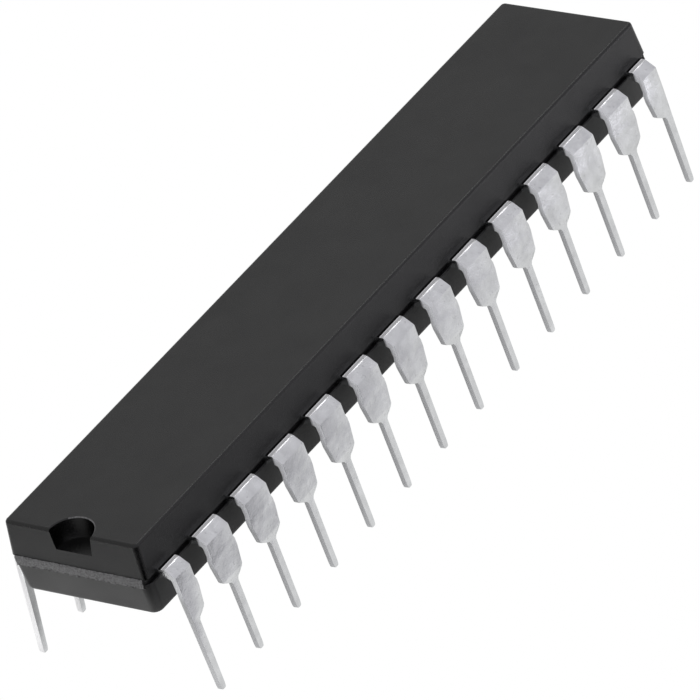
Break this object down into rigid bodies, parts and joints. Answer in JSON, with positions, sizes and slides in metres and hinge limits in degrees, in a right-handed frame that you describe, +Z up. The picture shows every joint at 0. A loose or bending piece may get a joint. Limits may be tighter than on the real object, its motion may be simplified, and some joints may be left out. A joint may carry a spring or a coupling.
{
  "type": "dip integrated circuit chip",
  "caption": "Through-hole dual in-line integrated circuit: long moulded black body, notch at one end, and two rows of bent tin-plated leads.",
  "frame": {"origin": "midway between the two rows of leads and midway along them, in the plane of the lead tips", "axes": "+X along the rows, away from the notched end; +Y across them, towards the row of leads 15 to 28; +Z up, from the tips to the top face"},
  "size_m": [0.0348, 0.0088, 0.007],
  "materials": {
    "moulding_compound": "fine matt epoxy moulding compound, charcoal black",
    "tin_plate": "matt tin plate on a copper alloy lead frame",
    "bare_copper": "bare copper alloy",
    "silver_epoxy": "silver-filled epoxy adhesive",
    "silicon": "polished silicon",
    "gold_wire": "drawn gold"
  },
  "bodies": {
    "root": {"body": "moulding_compound", "die_paddle": "bare_copper", "die_attach": "silver_epoxy", "die": "silicon", "bond_wires": "gold_wire", "lead_01": "tin_plate", "lead_02": "tin_plate", "lead_03": "tin_plate", "lead_04": "tin_plate", "lead_05": "tin_plate", "lead_06": "tin_plate", "lead_07": "tin_plate", "lead_08": "tin_plate", "lead_09": "tin_plate", "lead_10": "tin_plate", "lead_11": "tin_plate", "lead_12": "tin_plate", "lead_13": "tin_plate", "lead_14": "tin_plate", "lead_15": "tin_plate", "lead_16": "tin_plate", "lead_17": "tin_plate", "lead_18": "tin_plate", "lead_19": "tin_plate", "lead_20": "tin_plate", "lead_21": "tin_plate", "lead_22": "tin_plate", "lead_23": "tin_plate", "lead_24": "tin_plate", "lead_25": "tin_plate", "lead_26": "tin_plate", "lead_27": "tin_plate", "lead_28": "tin_plate"}
  },
  "joints": []
}
